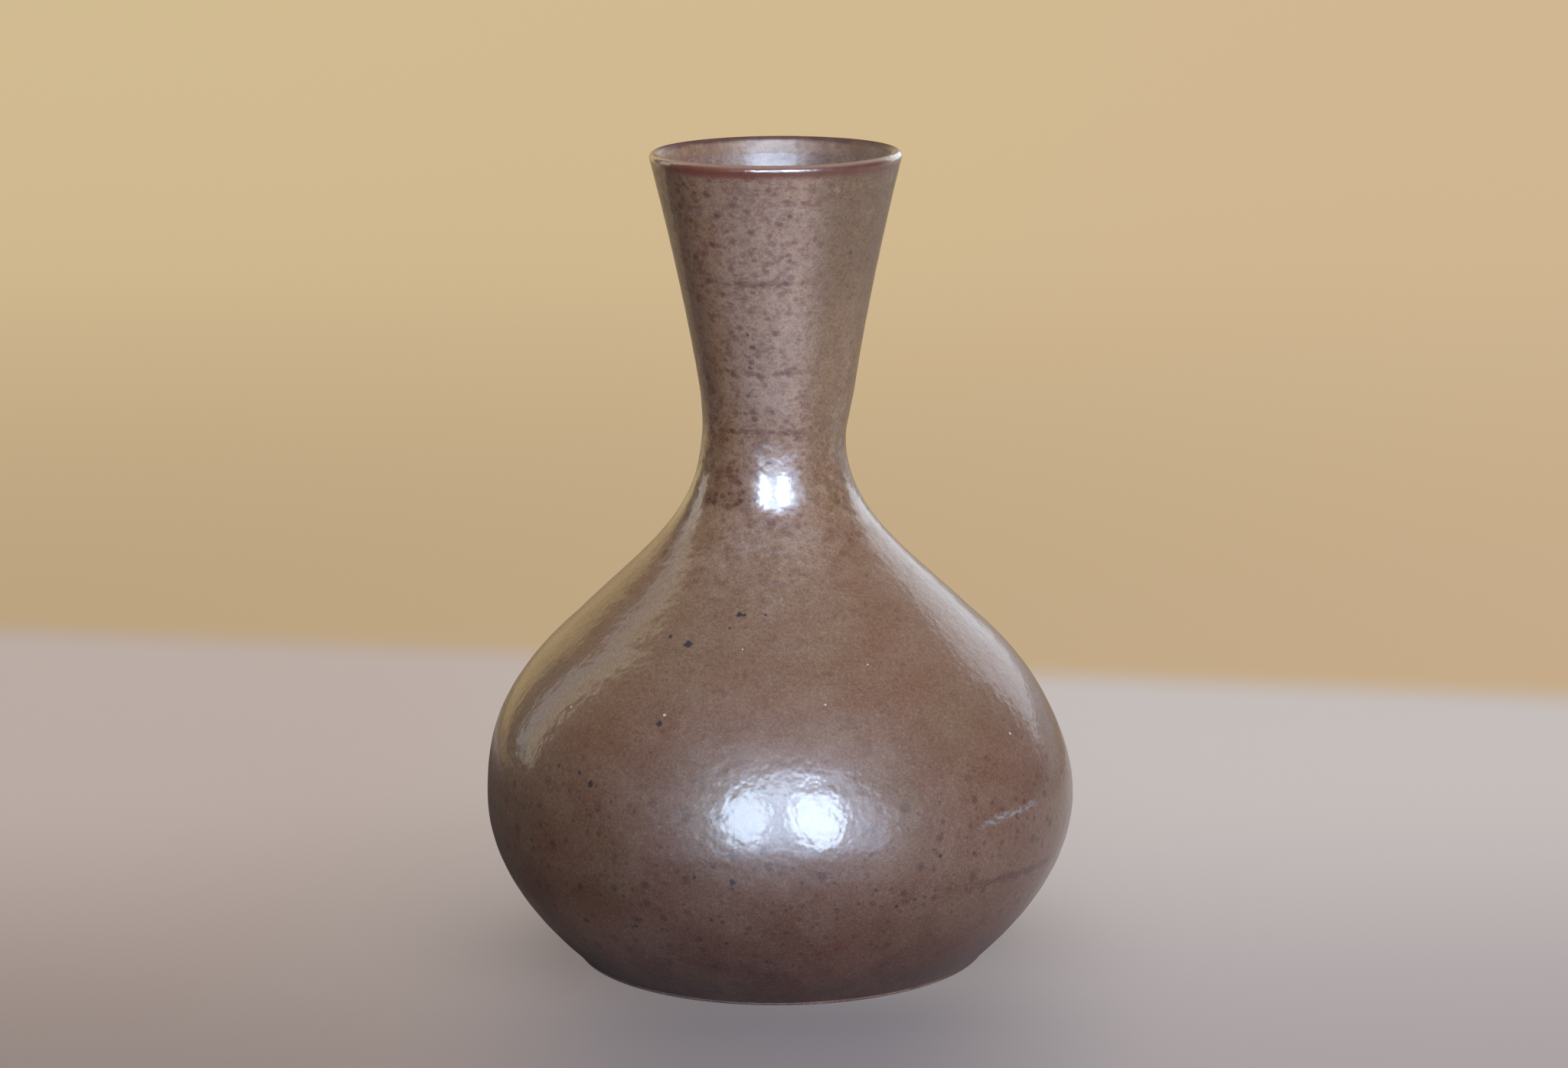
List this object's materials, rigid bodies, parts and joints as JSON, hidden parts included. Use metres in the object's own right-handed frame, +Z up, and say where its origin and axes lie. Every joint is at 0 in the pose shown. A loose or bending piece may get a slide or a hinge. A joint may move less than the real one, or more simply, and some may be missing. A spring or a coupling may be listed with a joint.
{
  "type": "globe vase",
  "caption": "Wheel-thrown stoneware bottle vase with a low round globe, a narrow waist and a tall flared neck, glazed brown inside and out.",
  "frame": {"origin": "the middle of the foot, on the surface that the vase stands on", "axes": "+Z up the axis that the vase is turned round, from the foot to the mouth; X and Y lie in the surface it stands on, and the picture looks along +Y"},
  "size_m": [0.146, 0.146, 0.2],
  "materials": {
    "stoneware": "matte",
    "slip": "matte",
    "brown_glaze": "gloss",
    "liner_glaze": "gloss"
  },
  "bodies": {
    "root": {"thrown_globe": "stoneware", "luted_neck": "stoneware", "luting_slip": "slip", "outer_glaze": "brown_glaze", "liner_glaze": "liner_glaze"}
  },
  "joints": []
}
